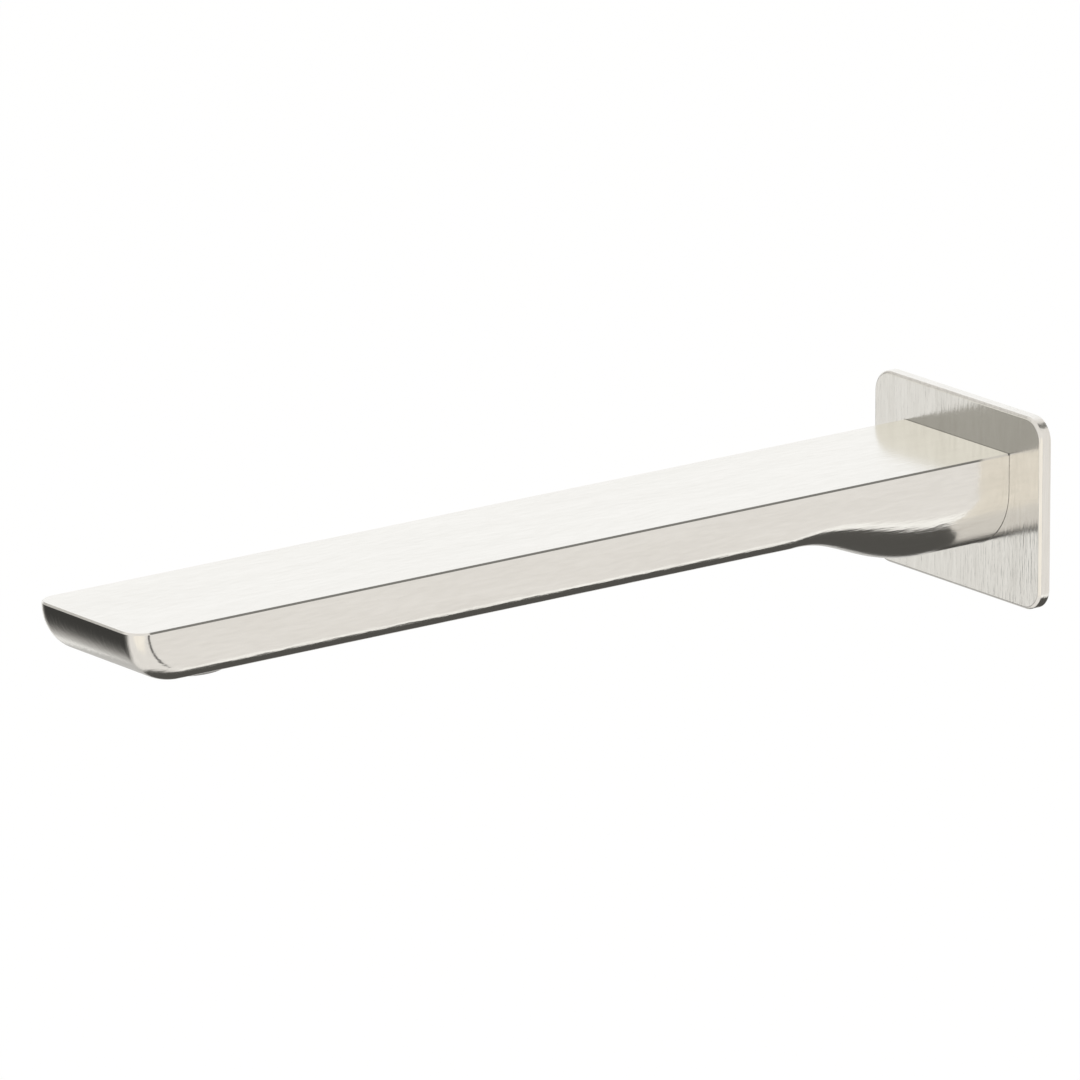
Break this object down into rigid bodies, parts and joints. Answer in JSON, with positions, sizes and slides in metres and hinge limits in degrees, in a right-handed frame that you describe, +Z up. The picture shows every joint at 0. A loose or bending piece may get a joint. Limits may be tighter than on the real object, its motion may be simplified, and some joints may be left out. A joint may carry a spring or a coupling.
{
  "type": "wall mounted bath spout",
  "caption": "Long flat bath spout with a rounded underside at the hub, a rectangular sliding cover plate, a threaded wall nipple and a screw-in aerator.",
  "frame": {"origin": "on the inlet thread's axis, in the wall plane that the cover plate rests on", "axes": "+Y into the wall along the inlet thread, so the spout reaches towards -Y; +Z up; +X to the right for someone who faces the wall"},
  "size_m": [0.0604, 0.265, 0.0454],
  "materials": {
    "brushed_nickel_body": "brushed nickel over brass, fine grain along the spout",
    "brushed_nickel_plate": "brushed nickel over brass, fine upright grain",
    "turned_brass": "turned brass",
    "black_rubber": "moulded rubber",
    "white_seal": "waxy white seal",
    "stainless_screw": "turned stainless steel",
    "black_plastic": "moulded black plastic",
    "foam_gasket": "closed-cell foam",
    "grey_plastic": "moulded grey plastic",
    "white_plastic": "moulded white plastic"
  },
  "bodies": {
    "spout": {"spout_body": "brushed_nickel_body", "top_cover": "brushed_nickel_body", "inlet_bush": "turned_brass", "outlet_bush": "turned_brass", "wall_nipple": "turned_brass", "nipple_o_ring_front": "black_rubber", "nipple_o_ring_rear": "black_rubber", "thread_seal_ring": "white_seal"},
    "plate": {"cover_plate": "brushed_nickel_plate", "plate_carrier": "black_plastic", "plate_grip_ring": "black_rubber", "plate_gasket": "foam_gasket"},
    "washer": {"aerator_washer": "black_rubber"},
    "aerator": {"aerator_housing": "grey_plastic", "aerator_strainer": "white_plastic", "aerator_metering_plate": "white_plastic", "aerator_diffuser": "white_plastic", "aerator_outlet_grid": "grey_plastic"},
    "lock_pad": {"pressure_pad": "turned_brass"},
    "lock_screw": {"grub_screw": "stainless_screw"}
  },
  "joints": [
    {"name": "plate_slide", "type": "slide", "parent": "spout", "child": "plate", "axis": [0, -1, 0], "range_m": [0, 0.005]},
    {"name": "aerator_lift", "type": "slide", "parent": "spout", "child": "washer", "axis": [0, 0, -1], "range_m": [0, 0.0045]},
    {"name": "aerator_turn", "type": "hinge", "parent": "washer", "child": "aerator", "pos_m": [0, -0.224, 0], "axis": [0, 0, -1], "range_deg": [0, 1620]},
    {"name": "lock_lift", "type": "slide", "parent": "spout", "child": "lock_pad", "axis": [0, 0, -1], "range_m": [0, 0.0021]},
    {"name": "lock_turn", "type": "hinge", "parent": "lock_pad", "child": "lock_screw", "pos_m": [0, -0.0105, 0], "axis": [0, 0, -1], "range_deg": [0, 1080]}
  ],
  "couplings": [
    {"joint": "aerator_turn", "follows": "aerator_lift", "rad_per_m": 6283.2},
    {"joint": "lock_turn", "follows": "lock_lift", "rad_per_m": 8976}
  ]
}
